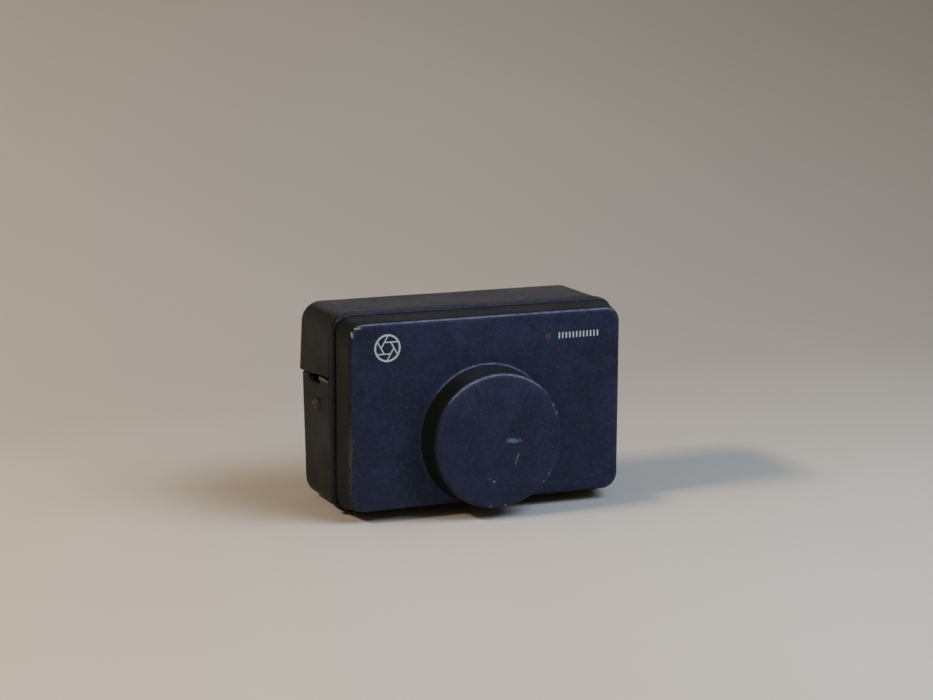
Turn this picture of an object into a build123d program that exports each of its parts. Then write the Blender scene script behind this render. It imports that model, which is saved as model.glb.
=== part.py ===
from build123d import *
import os

# Hard two-part carrying case for a compact camera, in millimetres. A half case holds the camera.
# A cover with a lens dome and a cap for the camera's top swings down in front of it on a leather
# strip, and a tab with a press stud holds the cap at the back. +Z is up and the dome points to -Y.
# The origin is on the resting plane, under the middle of the closed case.

# Pressed board and its covering
WALL = 1.8
LINING = 0.8
LINING_GAP = 0.4
LINING_FRONT_SET = 0.5
EDGE_CLEAR = 0.5

# Depths along Y. The seam between cover and half case is at Y = 0.
DEPTH = 82.6
DOME_FACE = -DEPTH / 2
STUD_FACE = DEPTH / 2
PANEL_FACE = -25.8
STEP_Y = -7.8
BINDING_FRONT = -6.4
BINDING_BACK = -0.6
NECK_BACK = -0.25
CAP_FRONT = 0.2
HALF_FRONT = 0.25

# Raised front panel and the wall behind it
PANEL_X = -2.4
PANEL_HALF = 67.6
PANEL_LOW = 5.4
PANEL_HIGH = 92.9
PANEL_CORNER = 7.5
PANEL_EDGE = 2.5
STEP_HALF = 70.4
STEP_LOW = 2.6
STEP_HIGH = 93.1
STEP_CORNER = 8.0

# Edge binding around the cover, and the neck of board that it wraps
BINDING_HALF = 71.3
BINDING_LOW = 1.0
BINDING_HIGH = 93.9
BINDING_CORNER = 8.0
BINDING_ROUND = 1.0
BINDING_THICK = 1.5

# Lens dome
DOME_X = -3.0
DOME_Z = 36.8
DOME_BASE_R = 32.8
DOME_FACE_R = 31.9
DOME_EDGE = 3.2
DOME_FLARE = 1.2
DOME_FLARE_KEEP = 6.0
DOME_OPENING_BACK = -5.0
DOME_ROOT = -16.0

# Half case
HALF_TOP_HALF = 71.2
HALF_LEAN = -0.021
HALF_LOW = 1.0
HALF_CORNER = 9.0
HALF_BACK_HIGH_Y = 37.5
HALF_BACK_LOW_Y = 36.7
HALF_BACK_ROUND = 3.2

# Cap
CAP_TOP = 94.0
CAP_CORNER = 9.5
CAP_HALF_FRONT = 70.7
CAP_HALF_BACK = 71.2
CAP_LEAN_FRONT = 0.010
CAP_LEAN_BACK = 0.024
CAP_BACK_LOW_Y = 38.9
CAP_BACK_HIGH_Y = 36.9
CAP_BACK_ROUND = 3.2
BLOCK_END = 42.0

# Parting between cap and half case. Both edges fall towards the back, the cap's more steeply.
PART_FRONT_Z = 63.5
PART_BACK_Z = 61.2
HALF_TOP_FRONT_Z = 62.4
HALF_TOP_BACK_Z = 60.7
BLOCK_HIGH = 72.0
BLOCK_DEEP = 53.0

# Notches for the camera's strap lugs
NOTCH_Y = 19.8
NOTCH_LONG = 15.0
NOTCH_DEEP = 3.9
NOTCH_ROUND = 3.0

# Strap rivets on the sides
STRAP_RIVET_Y = 16.2
STRAP_RIVET_Z = 48.9
STRAP_HEAD_R = 2.7
STRAP_HEAD_HIGH = 1.1
STRAP_HEAD_SET = 0.2
STRAP_HEAD_DOME = 0.7
STRAP_SHANK_R = 1.3
STRAP_BURR_R = 3.6
STRAP_BURR_THICK = 0.5
STRAP_BURR_SET = 0.3

# Leather hinge strip under the seam. It bends about its own mid thickness.
STRIP_HALF = 60.0
STRIP_THICK = 1.0
STRIP_FRONT_END = -0.7
STRIP_REAR_END = 1.4
STRIP_REAR_EDGE = 13.0
HINGE_RIVET_X = (18.0, 34.0, 50.0)
HINGE_RIVET_REAR_Y = 6.5
HINGE_RIVET_FRONT_Y = -3.5
HINGE_RIVET_R = 1.2
HINGE_FLANGE_R = 2.1
HINGE_FLANGE_THICK = 0.45
HINGE_FLANGE_SET = 0.15

# Camera screw, 1/4 inch with 20 turns to the inch, and the cup that it turns in
SCREW_Y = 17.0
THREAD_R = 3.175
THREAD_ROOT_R = 2.65
THREAD_PITCH = 1.27
THREAD_LAND = 0.4
THREAD_TURNS = 3
THREAD_START = 6.6
THREAD_TIP = 0.5
NECK_R = 3.6
CUP_HOLE_R = 3.67
CUP_INNER_R = 9.2
CUP_OUTER_R = 9.8
CUP_FLANGE_R = 11.6
CUP_FLANGE_LOW = 0.5
CUP_PLATE_LOW = 5.0
CUP_PLATE_HIGH = 5.6
CLAMP_R = 12.0
CLAMP_THICK = 0.6
HEAD_R = 8.5
HEAD_HIGH = 3.6
HEAD_CHAMFER = 0.4
KNURL_COUNT = 32
KNURL_R = 0.45
COIN_SLOT_WIDE = 2.0
COIN_SLOT_DEEP = 1.4
SHANK_LOW = 1.8
CLIP_R = 5.0
CLIP_SEAT_R = 2.6
CLIP_LOW = 5.7
CLIP_THICK = 0.6
CLIP_MOUTH = 4.0

# Pad that the camera stands on
PAD_HALF = 59.5
PAD_FRONT = 2.0
PAD_BACK = 31.6
PAD_LOW = HALF_LOW + WALL + LINING
PAD_HIGH = 6.1
PAD_CORNER = 6.0
PAD_HOLE_R = 12.8

# Closing tab and its press stud
TAB_HALF = 11.0
TAB_INNER_Y = 39.2
TAB_STRAP_INNER_Y = 39.5
TAB_OUTER_Y = 40.6
TAB_AXIS_Z = 57.0
TAB_BEND = 1.2
TAB_TOP = 86.0
TAB_ANCHOR_LOW = 34.0
TAB_ANCHOR_RAMP = 50.0
TAB_ANCHOR_TIP = 2.0
TAB_ANCHOR_Y = 37.7
TAB_ANCHOR_CORNER = 4.0
TAB_PACK_LOW = 35.0
TAB_PACK_HIGH = 49.0
TAB_PACK_IN = 1.0
TAB_RIVET_X = 6.0
TAB_RIVET_Z = 41.0
TAB_RIVET_R = 1.2
TAB_RIVET_HEAD_R = 2.4
TAB_RIVET_HEAD_HIGH = 0.7
TAB_RIVET_ROUND = 0.5
TAB_BURR_THICK = 0.5
STUD_Z = 75.0
STUD_FLANGE_R = 4.5
STUD_FLANGE_SET = 0.3
STUD_FLANGE_HIGH = 0.5
STUD_NECK_R = 1.8
STUD_BEAD_R = 2.2
STUD_BEAD_HIGH = 0.8
STUD_BEAD_ROUND = 0.35
EYELET_THICK = 0.8
STUD_TIP_Y = 40.3
SOCKET_HOLE_R = 2.6
SOCKET_R = 5.0
SOCKET_RING_R = 2.95
SOCKET_WIRE_R = 0.2
STUD_CAP_R = 6.5
STUD_CAP_ROUND = 0.5

# Joint band inside the seam between cover and cap
BAND_REACH = 6.0
BAND_OUTER = 69.1
BAND_INNER = 67.2

# Foil marks on the front panel
FOIL_THICK = 0.12
MARK_Z = 80.9
EMBLEM_X = -52.3
EMBLEM_R = 6.4
EMBLEM_LINE = 0.9
EMBLEM_BLADES = 6
EMBLEM_HUB_R = 2.7
EMBLEM_BLADE_LINE = 0.6
DOT_X = 28.0
DOT_R = 1.5
ROW_START_X = 33.4
ROW_END_X = 54.0
ROW_COUNT = 12
ROW_BLOCK_WIDE = 0.8
ROW_BLOCK_HIGH = 2.9
ROW_BLOCK_ROUND = 0.3

FAR = 200.0
PAST = 2.0
MERGE = 1.0
BORE_HIGH = 9.0


def across(y):
    """Plane across the case at depth y, its own x along +X and its own y along +Z."""
    return Plane(origin=(0, y, 0), x_dir=(1, 0, 0), z_dir=(0, -1, 0))


def section(y, half, lean, z_low, z_high, r_low, r_high, middle=0):
    """Rounded outline across the case. Its half width is half at z_high and grows by lean per mm down."""
    half_low = half + lean * (z_high - z_low)
    corners = [(-half_low, z_low), (half_low, z_low), (half, z_high), (-half, z_high)]
    shape = Polygon(*corners, align=None)
    if r_low:
        shape = fillet(shape.vertices().sort_by(Axis.Y)[:2], r_low)
    if r_high:
        shape = fillet(shape.vertices().sort_by(Axis.Y)[-2:], r_high)
    return (across(y) * Pos(middle, 0) * shape).face()


def mix(a, b, share):
    """Value the given share of the way from a to b."""
    return a + (b - a) * share


def slab(y_low, y_high):
    """Everything between two depths."""
    return Pos(0, (y_low + y_high) / 2, 0) * Box(FAR * 2, y_high - y_low, FAR * 2)


def rod_y(x, z, radius, y_low, y_high):
    """Round bar along Y."""
    return Pos(x, (y_low + y_high) / 2, z) * Rot(90, 0, 0) * Cylinder(radius, y_high - y_low)


def rod_z(x, y, radius, z_low, z_high):
    """Round bar along Z."""
    return Pos(x, y, (z_low + z_high) / 2) * Cylinder(radius, z_high - z_low)


def rod_x(y, z, radius, x_low, x_high):
    """Round bar along X."""
    return Pos((x_low + x_high) / 2, y, z) * Rot(0, 90, 0) * Cylinder(radius, x_high - x_low)


def base_bore(x, y, radius):
    """Cutter for a round hole through everything that lies on the base."""
    return rod_z(x, y, radius, -BORE_HIGH, BORE_HIGH)


def edge_plane(front_z, back_z):
    """Plane through a shell's edge, from front_z at the seam to back_z at the back wall."""
    return Plane(
        origin=(0, 0, front_z), x_dir=(1, 0, 0), z_dir=(0, front_z - back_z, CAP_BACK_LOW_Y)
    )


def above_parting(solid, clear):
    """What stands above the cap's lower edge, clear of it."""
    edge = edge_plane(PART_FRONT_Z + clear, PART_BACK_Z + clear)
    return split(solid, bisect_by=edge, keep=Keep.TOP)


def below_parting(solid, clear):
    """What stands below the half case's top edge, clear of it."""
    edge = edge_plane(HALF_TOP_FRONT_Z - clear, HALF_TOP_BACK_Z - clear)
    return split(solid, bisect_by=edge, keep=Keep.BOTTOM)


def back_plane(y_low, z_low, y_high, z_high, inset):
    """Leaning plane of a back wall, moved inwards by inset. Its normal points out of the case."""
    plane = Plane(
        origin=(0, y_low, z_low), x_dir=(1, 0, 0), z_dir=(0, z_high - z_low, y_low - y_high)
    )
    return plane.offset(-inset)


# Half case


def half_block(inset, y_front):
    """Filled outer form of the half case, shrunk by inset."""
    block = loft([
        section(y, HALF_TOP_HALF - inset, HALF_LEAN, HALF_LOW + inset, BLOCK_HIGH,
                HALF_CORNER - inset, 0)
        for y in (y_front, BLOCK_END)
    ])
    back = back_plane(HALF_BACK_LOW_Y, HALF_LOW, HALF_BACK_HIGH_Y, PART_BACK_Z, inset)
    block = split(block, bisect_by=back, keep=Keep.BOTTOM)
    edges = block.faces().sort_by(Axis.Y)[-1].edges().filter_by(lambda e: e.center().Z < PART_FRONT_Z)
    return below_parting(fillet(edges, HALF_BACK_ROUND - inset), 0)


def lug_notches():
    """Scoops through both side walls at the parting, where the camera's strap lugs pass."""
    top = mix(HALF_TOP_FRONT_Z, HALF_TOP_BACK_Z, NOTCH_Y / CAP_BACK_LOW_Y)
    notch = Pos(0, NOTCH_Y, top) * Box(FAR, NOTCH_LONG, 2 * NOTCH_DEEP)
    return fillet(notch.edges().filter_by(Axis.X).sort_by(Axis.Z)[:2], NOTCH_ROUND)


def side_x(z):
    """Distance of the half case's outer side wall from the middle at height z."""
    return HALF_TOP_HALF + HALF_LEAN * (BLOCK_HIGH - z)


def half_back_y(z):
    """Depth of the half case's outer back wall at height z."""
    share = (z - HALF_LOW) / (PART_BACK_Z - HALF_LOW)
    return mix(HALF_BACK_LOW_Y, HALF_BACK_HIGH_Y, share)


def strap_rivet(side):
    """Domed rivet through one side wall."""
    wall = side_x(STRAP_RIVET_Z)
    shank = rod_x(STRAP_RIVET_Y, STRAP_RIVET_Z, STRAP_SHANK_R, wall - WALL - LINING, wall)
    head = rod_x(STRAP_RIVET_Y, STRAP_RIVET_Z, STRAP_HEAD_R, wall - STRAP_HEAD_SET, wall + STRAP_HEAD_HIGH)
    head = fillet(head.edges().sort_by(Axis.X)[-1], STRAP_HEAD_HIGH * STRAP_HEAD_DOME)
    rivet = shank + head
    return rivet if side > 0 else mirror(rivet, Plane.YZ)


def strap_burr(side):
    """Washer that the strap rivet is closed over, inside the wall."""
    outer = side_x(STRAP_RIVET_Z) - WALL
    burr = rod_x(STRAP_RIVET_Y, STRAP_RIVET_Z, STRAP_BURR_R, outer - STRAP_BURR_THICK, outer + STRAP_BURR_SET)
    burr -= rod_x(STRAP_RIVET_Y, STRAP_RIVET_Z, STRAP_SHANK_R, outer - PAST, outer + PAST)
    burr = burr & half_block(WALL, HALF_FRONT - PAST)
    return burr if side > 0 else mirror(burr, Plane.YZ)


def hinge_rivet(x, y, z_inside):
    """Rivet through strip and board, sunk in the strip, with its second head at z_inside."""
    low = HINGE_FLANGE_SET
    rivet = rod_z(x, y, HINGE_RIVET_R, low, z_inside + HINGE_FLANGE_THICK)
    rivet += rod_z(x, y, HINGE_FLANGE_R, low, low + HINGE_FLANGE_THICK)
    rivet += rod_z(x, y, HINGE_FLANGE_R, z_inside, z_inside + HINGE_FLANGE_THICK)
    return rivet


def hinge_rivet_places():
    """Places of the hinge rivets along X."""
    return [side * x for x in HINGE_RIVET_X for side in (-1, 1)]


def hinge_strip(y_low, y_high, rivet_y):
    """One half of the hinge strip, with a countersink for each rivet."""
    middle = Pos(0, (y_low + y_high) / 2, STRIP_THICK / 2)
    strip = middle * Box(2 * STRIP_HALF, y_high - y_low, STRIP_THICK)
    for x in hinge_rivet_places():
        strip -= rod_z(x, rivet_y, HINGE_FLANGE_R, -BORE_HIGH, HINGE_FLANGE_SET + HINGE_FLANGE_THICK)
        strip -= base_bore(x, rivet_y, HINGE_RIVET_R)
    return strip


def screw_cup():
    """Pressed cup let into the base, which the camera screw turns in."""
    outline = [
        (CUP_HOLE_R, CUP_PLATE_LOW), (CUP_INNER_R, CUP_PLATE_LOW), (CUP_INNER_R, CUP_FLANGE_LOW),
        (CUP_FLANGE_R, CUP_FLANGE_LOW), (CUP_FLANGE_R, HALF_LOW), (CUP_OUTER_R, HALF_LOW),
        (CUP_OUTER_R, CUP_PLATE_HIGH), (CUP_HOLE_R, CUP_PLATE_HIGH),
    ]
    profile = Plane.XZ * Polygon(*outline, align=None)
    return Pos(0, SCREW_Y, 0) * revolve(profile, Axis.Z)


def cup_clamp():
    """Ring pressed on the cup inside the case, which clamps the base."""
    low = HALF_LOW + WALL
    return rod_z(0, SCREW_Y, CLAMP_R, low, low + CLAMP_THICK) - base_bore(0, SCREW_Y, CUP_OUTER_R)


def tab_rivets():
    """Two rivets that hold the closing tab's lower end to the back wall."""
    rivets = []
    for side in (-1, 1):
        x = side * TAB_RIVET_X
        inner = HALF_BACK_LOW_Y - WALL - LINING
        face = TAB_ANCHOR_Y + TAB_OUTER_Y - TAB_INNER_Y
        shank = rod_y(x, TAB_RIVET_Z, TAB_RIVET_R, inner, face)
        head = rod_y(x, TAB_RIVET_Z, TAB_RIVET_HEAD_R, face, face + TAB_RIVET_HEAD_HIGH)
        head = fillet(head.edges().sort_by(Axis.Y)[-1], TAB_RIVET_ROUND)
        rivets.append(shank + head)
    return rivets


def tab_burrs():
    """Washers that the tab rivets are closed over, inside the back wall."""
    burrs = []
    for side in (-1, 1):
        x = side * TAB_RIVET_X
        wall = half_back_y(TAB_RIVET_Z) - WALL
        burr = rod_y(x, TAB_RIVET_Z, TAB_RIVET_HEAD_R, wall - TAB_BURR_THICK, wall + TAB_BURR_THICK)
        burr -= rod_y(x, TAB_RIVET_Z, TAB_RIVET_R, 0, FAR)
        burrs.append(burr & half_block(WALL, 0))
    return burrs


def tab_anchor():
    """Lower end of the closing tab, riveted to the back wall and ramped out to clear the cap."""
    thick = TAB_OUTER_Y - TAB_INNER_Y
    top = TAB_AXIS_Z - TAB_BEND
    outline = [
        (TAB_ANCHOR_Y, TAB_ANCHOR_LOW), (TAB_ANCHOR_Y + thick, TAB_ANCHOR_LOW),
        (TAB_ANCHOR_Y + thick, TAB_ANCHOR_RAMP), (TAB_OUTER_Y, top - TAB_ANCHOR_TIP), (TAB_OUTER_Y, top),
        (TAB_INNER_Y, top), (TAB_INNER_Y, top - TAB_ANCHOR_TIP), (TAB_ANCHOR_Y, TAB_ANCHOR_RAMP),
    ]
    profile = Plane.YZ * Polygon(*outline, align=None)
    anchor = extrude(profile, TAB_HALF, both=True)
    ends = anchor.edges().filter_by(Axis.Y).sort_by(Axis.Z)[:2]
    anchor = fillet(ends, TAB_ANCHOR_CORNER)
    pack = Pos(0, HALF_BACK_LOW_Y, (TAB_PACK_LOW + TAB_PACK_HIGH) / 2) * Box(
        2 * (TAB_HALF - TAB_PACK_IN), 2 * (TAB_ANCHOR_Y - HALF_BACK_LOW_Y), TAB_PACK_HIGH - TAB_PACK_LOW
    )
    return anchor + (pack - half_block(0, HALF_FRONT))


def half_case():
    """Every piece of the half case, each cut to the pieces that pass through it."""
    base_z = HALF_LOW + WALL
    rivets = {side: strap_rivet(side) for side in (-1, 1)}
    burrs = {side: strap_burr(side) for side in (-1, 1)}
    strip_rivets = [hinge_rivet(x, HINGE_RIVET_REAR_Y, base_z) for x in hinge_rivet_places()]
    back_rivets = tab_rivets()
    back_burrs = tab_burrs()
    cup_hole = base_bore(0, SCREW_Y, CUP_OUTER_R)
    shell = half_block(0, HALF_FRONT) - half_block(WALL, HALF_FRONT - PAST)
    shell = shell - lug_notches() - cup_hole
    for piece in [*rivets.values(), *strip_rivets, *back_rivets]:
        shell -= piece
    lining = half_block(WALL, HALF_FRONT + LINING_FRONT_SET) - half_block(WALL + LINING, HALF_FRONT - PAST)
    lining = lining - lug_notches() - base_bore(0, SCREW_Y, CLAMP_R + LINING_GAP)
    lining = below_parting(lining, EDGE_CLEAR)
    for piece in [*rivets.values(), *burrs.values(), *strip_rivets, *back_rivets, *back_burrs]:
        lining -= piece
    pad = extrude(
        Plane.XY.offset(PAD_LOW)
        * Pos(0, (PAD_FRONT + PAD_BACK) / 2)
        * RectangleRounded(2 * PAD_HALF, PAD_BACK - PAD_FRONT, PAD_CORNER),
        PAD_HIGH - PAD_LOW,
    )
    pad -= base_bore(0, SCREW_Y, PAD_HOLE_R)
    anchor = tab_anchor()
    for piece in back_rivets:
        anchor -= piece
    strip = hinge_strip(STRIP_REAR_END, STRIP_REAR_EDGE, HINGE_RIVET_REAR_Y)
    strip -= base_bore(0, SCREW_Y, CUP_FLANGE_R + LINING_GAP)
    return {
        "half_case_shell": shell,
        "half_case_lining": lining,
        "camera_base_pad": pad,
        "strap_rivet_left": rivets[-1],
        "strap_rivet_right": rivets[1],
        "strap_rivet_burr_left": burrs[-1],
        "strap_rivet_burr_right": burrs[1],
        "hinge_strip_rear": strip,
        "hinge_rivets_rear": Compound(children=strip_rivets),
        "screw_cup": screw_cup(),
        "cup_clamp_ring": cup_clamp(),
        "closure_tab_anchor": anchor,
        "closure_tab_rivets": Compound(children=back_rivets),
        "closure_tab_rivet_burrs": Compound(children=back_burrs),
    }


# Camera screw


def screw_head():
    """Knurled head with a coin slot across its underside, pressed on the screw's shank."""
    head = rod_z(0, SCREW_Y, HEAD_R, 0, HEAD_HIGH)
    head = chamfer(head.edges(), HEAD_CHAMFER)
    notch = Pos(HEAD_R + KNURL_R / 4, 0, HEAD_HIGH / 2) * Cylinder(KNURL_R, 2 * HEAD_HIGH)
    for turn in range(KNURL_COUNT):
        head -= Pos(0, SCREW_Y, 0) * Rot(0, 0, turn * 360 / KNURL_COUNT) * notch
    slot = Pos(0, SCREW_Y, COIN_SLOT_DEEP / 2) * Box(3 * HEAD_R, COIN_SLOT_WIDE, COIN_SLOT_DEEP)
    return head - slot - rod_z(0, SCREW_Y, NECK_R, SHANK_LOW, FAR)


def screw_shank():
    """Neck that turns in the cup, seat for the clip, and the camera thread as ridges with lands."""
    clip_high = CLIP_LOW + CLIP_THICK
    outline = [
        (0, SHANK_LOW), (NECK_R, SHANK_LOW), (NECK_R, CLIP_LOW),
        (CLIP_SEAT_R, CLIP_LOW), (CLIP_SEAT_R, clip_high), (THREAD_R, clip_high),
    ]
    for turn in range(THREAD_TURNS):
        start = THREAD_START + turn * THREAD_PITCH
        flank = (THREAD_PITCH - THREAD_LAND) / 2
        outline += [(THREAD_R, start + THREAD_LAND), (THREAD_ROOT_R, start + THREAD_LAND + flank)]
        outline += [(THREAD_R, start + THREAD_PITCH)]
    tip = THREAD_START + THREAD_TURNS * THREAD_PITCH + THREAD_LAND
    outline += [(THREAD_R, tip), (THREAD_ROOT_R, tip + THREAD_TIP), (0, tip + THREAD_TIP)]
    profile = Plane.XZ * Polygon(*outline, align=None)
    return Pos(0, SCREW_Y, 0) * revolve(profile, Axis.Z)


def screw_clip():
    """Open retaining clip that keeps the screw in its cup."""
    clip = rod_z(0, SCREW_Y, CLIP_R, CLIP_LOW, CLIP_LOW + CLIP_THICK)
    clip -= rod_z(0, SCREW_Y, CLIP_SEAT_R, 0, BORE_HIGH)
    mouth = Pos(CLIP_R, SCREW_Y, CLIP_LOW) * Box(2 * CLIP_R, CLIP_MOUTH, 4 * CLIP_THICK)
    return clip - mouth


# Cover


def cover_cavity(inset):
    """Hollow of the cover between panel and seam, shrunk by inset."""
    reach = WALL + inset
    neck = BINDING_THICK + reach
    return loft([
        section(PANEL_FACE + reach, PANEL_HALF - reach, 0, PANEL_LOW + reach, PANEL_HIGH - reach,
                PANEL_CORNER - reach, PANEL_CORNER - reach, PANEL_X),
        section(NECK_BACK, BINDING_HALF - neck, 0, BINDING_LOW + neck, BINDING_HIGH - neck,
                BINDING_CORNER - neck, BINDING_CORNER - neck),
    ])


def neck_outline(y):
    """Outline of the board neck under the binding."""
    inset = BINDING_THICK
    return section(y, BINDING_HALF - inset, 0, BINDING_LOW + inset, BINDING_HIGH - inset,
                   BINDING_CORNER - inset, BINDING_CORNER - inset)


def dome_form():
    """Filled lens dome with a rounded front edge, and the small hollow flare at its foot."""
    length = DOME_ROOT - DOME_FACE
    slope = (DOME_BASE_R - DOME_FACE_R) / (PANEL_FACE - DOME_FACE)
    root_r = DOME_FACE_R + slope * length
    cone = Cone(root_r, DOME_FACE_R, length)
    cone = fillet(cone.edges().sort_by(Axis.Z)[-1], DOME_EDGE)
    dome = Pos(DOME_X, (DOME_ROOT + DOME_FACE) / 2, DOME_Z) * Rot(90, 0, 0) * cone
    lines = [
        Line((DOME_BASE_R - MERGE, 0), (DOME_BASE_R + DOME_FLARE, 0)),
        CenterArc((DOME_BASE_R + DOME_FLARE, -DOME_FLARE), DOME_FLARE, 90, 90),
        Line((DOME_BASE_R, -DOME_FLARE), (DOME_BASE_R - MERGE, -DOME_FLARE)),
        Line((DOME_BASE_R - MERGE, -DOME_FLARE), (DOME_BASE_R - MERGE, 0)),
    ]
    side = Plane(origin=(DOME_X, PANEL_FACE, DOME_Z), x_dir=(1, 0, 0), z_dir=(0, 0, 1))
    flare = revolve(side * make_face(lines), Axis((DOME_X, 0, DOME_Z), (0, 1, 0)))
    keep = Pos(0, PANEL_FACE, PANEL_LOW + PANEL_EDGE + FAR / 2) * Box(FAR, DOME_FLARE_KEEP, FAR)
    return dome + (flare & keep)


def dome_hollow(inset):
    """Hollow inside the dome, shrunk by inset."""
    radius = DOME_FACE_R - WALL - inset
    return rod_y(DOME_X, DOME_Z, radius, DOME_FACE + WALL + inset, PANEL_FACE + WALL + MERGE)


def cover_shell():
    """Pressed front: panel, dome, side walls, step and neck in one skin."""
    form = loft([
        section(PANEL_FACE, PANEL_HALF, 0, PANEL_LOW, PANEL_HIGH, PANEL_CORNER, PANEL_CORNER, PANEL_X),
        section(STEP_Y, STEP_HALF, 0, STEP_LOW, STEP_HIGH, STEP_CORNER, STEP_CORNER),
    ])
    form = fillet(form.faces().sort_by(Axis.Y)[0].edges(), PANEL_EDGE)
    neck = loft([neck_outline(STEP_Y - 1), neck_outline(NECK_BACK)])
    return form + neck + dome_form() - cover_cavity(0) - dome_hollow(0)


def edge_binding():
    """Rounded binding that runs all round the cover's edge, over the neck."""
    outer = loft([
        section(y, BINDING_HALF, 0, BINDING_LOW, BINDING_HIGH, BINDING_CORNER, BINDING_CORNER)
        for y in (BINDING_FRONT, BINDING_BACK)
    ])
    ends = outer.faces().filter_by(Axis.Y)
    outer = fillet(ends.edges(), BINDING_ROUND)
    return outer - loft([neck_outline(BINDING_FRONT - 1), neck_outline(BINDING_BACK + 1)])


def cap_block(inset):
    """Filled outer form of the cap, shrunk by inset. Its back wall flares towards its lower edge."""
    outline = []
    for y in (CAP_FRONT - WALL, BLOCK_END):
        share = (y - CAP_FRONT) / (CAP_BACK_LOW_Y - CAP_FRONT)
        outline.append(section(
            y, mix(CAP_HALF_FRONT, CAP_HALF_BACK, share) - inset,
            mix(CAP_LEAN_FRONT, CAP_LEAN_BACK, share), BLOCK_DEEP, CAP_TOP - inset,
            0, CAP_CORNER - inset,
        ))
    block = loft(outline)
    back = back_plane(CAP_BACK_LOW_Y, PART_BACK_Z, CAP_BACK_HIGH_Y, CAP_TOP, inset)
    block = split(block, bisect_by=back, keep=Keep.BOTTOM)
    edges = block.faces().sort_by(Axis.Y)[-1].edges().filter_by(lambda e: e.center().Z > BLOCK_DEEP + 1)
    return above_parting(fillet(edges, CAP_BACK_ROUND - inset), 0)


def cap_back_y(z):
    """Depth of the cap's outer back wall at height z."""
    share = (z - PART_BACK_Z) / (CAP_TOP - PART_BACK_Z)
    return mix(CAP_BACK_LOW_Y, CAP_BACK_HIGH_Y, share)


def press_stud():
    """Stud on the cap's back: flange, neck and the bead that snaps into the socket."""
    wall = cap_back_y(STUD_Z)
    bead_y = STUD_TIP_Y - STUD_BEAD_HIGH
    stud = rod_y(0, STUD_Z, STUD_FLANGE_R, wall - STUD_FLANGE_SET, wall + STUD_FLANGE_HIGH)
    stud += rod_y(0, STUD_Z, STUD_NECK_R, wall - WALL - LINING, bead_y)
    bead = rod_y(0, STUD_Z, STUD_BEAD_R, bead_y, STUD_TIP_Y)
    return stud + fillet(bead.edges(), STUD_BEAD_ROUND)


def stud_eyelet():
    """Washer that the press stud is closed over, inside the cap's back wall."""
    wall = cap_back_y(STUD_Z) - WALL
    eyelet = rod_y(0, STUD_Z, STUD_FLANGE_R, wall - EYELET_THICK, wall + EYELET_THICK)
    eyelet -= rod_y(0, STUD_Z, STUD_NECK_R, 0, FAR)
    return eyelet & cap_block(WALL)


def joint_band(shell, cap):
    """Fibre band glued inside the seam, which joins the cap to the cover."""
    outer, inner = (
        loft([
            section(y, half, 0, 0, BINDING_HIGH - (BINDING_HALF - half), 0,
                    BINDING_CORNER - (BINDING_HALF - half))
            for y in (-BAND_REACH, BAND_REACH)
        ])
        for half in (BAND_OUTER, BAND_INNER)
    )
    return above_parting(outer - inner, EDGE_CLEAR) - shell - cap


def foil(shape, x):
    """Thin foil print on the front panel, from a flat shape drawn about its own middle."""
    return extrude(across(PANEL_FACE) * Pos(x, MARK_Z) * shape, FOIL_THICK)


def emblem():
    """Plain iris mark: a ring with six straight blade lines round a hexagon."""
    ring = Circle(EMBLEM_R) - Circle(EMBLEM_R - EMBLEM_LINE)
    inside = Circle(EMBLEM_R - EMBLEM_LINE / 2)
    reach = (EMBLEM_R ** 2 - EMBLEM_HUB_R ** 2) ** 0.5
    corner = EMBLEM_HUB_R / 3 ** 0.5
    for blade in range(EMBLEM_BLADES):
        line = Rectangle(reach + corner, EMBLEM_BLADE_LINE)
        line = Pos((reach - corner) / 2, EMBLEM_HUB_R) * line
        ring += Rot(0, 0, blade * 360 / EMBLEM_BLADES) * line & inside
    return foil(ring, EMBLEM_X)


def mark_row():
    """Row of plain upright marks, like the graduations of a scale."""
    step = (ROW_END_X - ROW_START_X - ROW_BLOCK_WIDE) / (ROW_COUNT - 1)
    first = ROW_START_X + ROW_BLOCK_WIDE / 2
    block = RectangleRounded(ROW_BLOCK_WIDE, ROW_BLOCK_HIGH, ROW_BLOCK_ROUND)
    return Compound(children=[foil(block, first + n * step) for n in range(ROW_COUNT)])


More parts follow.
